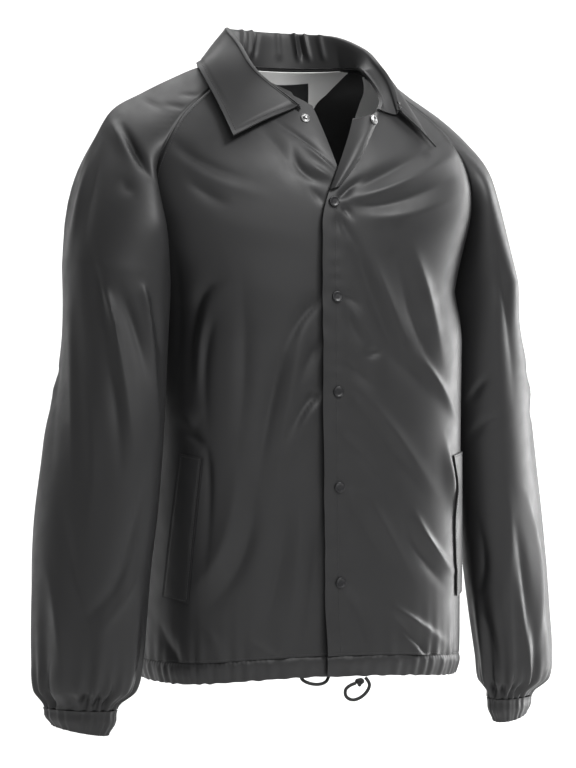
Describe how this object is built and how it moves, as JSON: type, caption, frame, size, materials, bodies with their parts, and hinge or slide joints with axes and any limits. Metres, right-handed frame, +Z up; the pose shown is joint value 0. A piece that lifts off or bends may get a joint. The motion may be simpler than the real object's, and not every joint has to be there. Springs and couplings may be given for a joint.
{
  "type": "jacket",
  "caption": "Coach's jacket filled out as worn: raglan sleeves with elastic cuffs, folded collar, snap front open at the top, drawstring hem.",
  "frame": {"origin": "middle of the neck opening, level with the top of the shoulders, where a hanger or dress form holds the jacket", "axes": "+Z up, -Y the way the wearer faces, +X the wearer's left"},
  "size_m": [0.6962, 0.2921, 0.8472],
  "materials": {
    "shell": "satin-woven nylon with a soft sheen",
    "lining": "matt pale woven lining",
    "patch": "plain dark woven patch",
    "cord": "matt braided cord",
    "snap_black": "black enamelled cap",
    "snap_bright": "bright nickel"
  },
  "bodies": {
    "root": {"front_right": "shell", "front_left": "shell", "back": "shell", "sleeve_right": "shell", "sleeve_left": "shell", "hem_casing_right": "shell", "hem_casing_left": "shell", "hem_casing_back": "shell", "cuff_right": "shell", "cuff_left": "shell", "collar": "shell", "facing_left": "shell", "welt_right": "shell", "welt_left": "shell", "lining_back": "lining", "lining_left": "lining", "neck_patch": "patch", "snap_cap_1": "snap_black", "snap_cap_2": "snap_black", "snap_cap_3": "snap_black", "snap_cap_4": "snap_black", "snap_cap_5": "snap_black", "snap_stud": "snap_bright", "snap_socket": "snap_bright", "cord_right": "cord", "cord_left": "cord", "cord_knot": "cord"}
  },
  "joints": []
}
